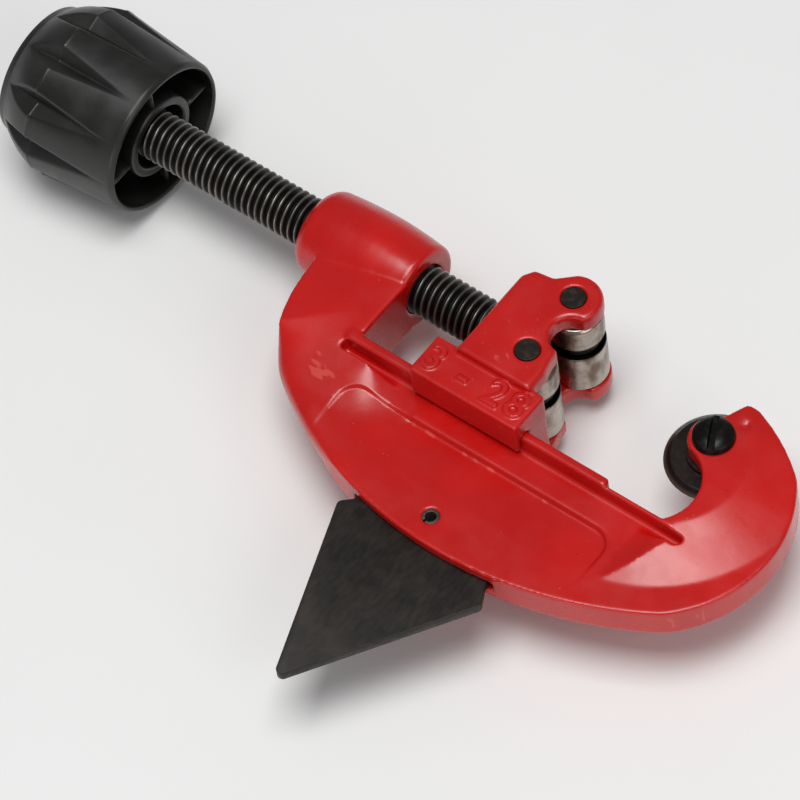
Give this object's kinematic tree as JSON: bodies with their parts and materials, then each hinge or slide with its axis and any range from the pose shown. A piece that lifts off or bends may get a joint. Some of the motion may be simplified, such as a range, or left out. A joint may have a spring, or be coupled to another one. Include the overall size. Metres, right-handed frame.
{
  "type": "pipe cutter",
  "caption": "Screw-fed tube cutter: C-frame with hook and cutting wheel, sliding carriage with tube rollers, fluted knob on the feed screw, triangular reamer blade in the back.",
  "frame": {"origin": "the point of the cutting wheel's edge that faces the rollers, on the feed screw's axis and in the tool's middle plane", "axes": "+X along the feed screw from the knob to the hook, +Z normal to the frame's web (parallel to the wheel's and rollers' axes), +Y to the side on which the jaw opens"},
  "size_m": [0.1437, 0.0786, 0.028],
  "materials": {
    "red_paint": "gloss enamel on a casting",
    "black_steel": "black oxide",
    "ground_steel": "ground",
    "black_plastic": "satin moulded"
  },
  "bodies": {
    "frame": {"frame": "red_paint", "wheel_screw": "black_steel", "reamer_blade": "black_steel", "reamer_pin": "black_steel"},
    "carriage": {"carriage": "red_paint", "roller_pin_upper": "black_steel", "roller_pin_lower": "black_steel", "retaining_pin_upper": "ground_steel", "retaining_pin_lower": "ground_steel"},
    "screw": {"feed_screw": "black_steel", "knob": "black_plastic", "knob_washer": "ground_steel", "knob_screw": "ground_steel", "knob_cap": "black_plastic"},
    "wheel": {"cutting_wheel": "black_steel"},
    "roller_upper": {"roller_upper": "ground_steel"},
    "roller_lower": {"roller_lower": "ground_steel"}
  },
  "joints": [
    {"name": "carriage_slide", "type": "slide", "parent": "frame", "child": "carriage", "axis": [1, 0, 0], "range_m": [-0.01063, 0.01812]},
    {"name": "knob_turn", "type": "hinge", "parent": "carriage", "child": "screw", "pos_m": [-0.0948, 0, 0], "axis": [1, 0, 0], "range_deg": [-3061, 5221]},
    {"name": "roller_upper_spin", "type": "hinge", "parent": "carriage", "child": "roller_upper", "pos_m": [-0.0212, 0.00555, 0], "axis": [0, 0, 1], "continuous": true},
    {"name": "roller_lower_spin", "type": "hinge", "parent": "carriage", "child": "roller_lower", "pos_m": [-0.0212, -0.00555, 0], "axis": [0, 0, 1], "continuous": true},
    {"name": "wheel_spin", "type": "hinge", "parent": "frame", "child": "wheel", "pos_m": [0.0076, 0, 0], "axis": [0, 0, 1], "continuous": true}
  ],
  "couplings": [
    {"joint": "knob_turn", "follows": "carriage_slide", "rad_per_m": 5026.5}
  ]
}
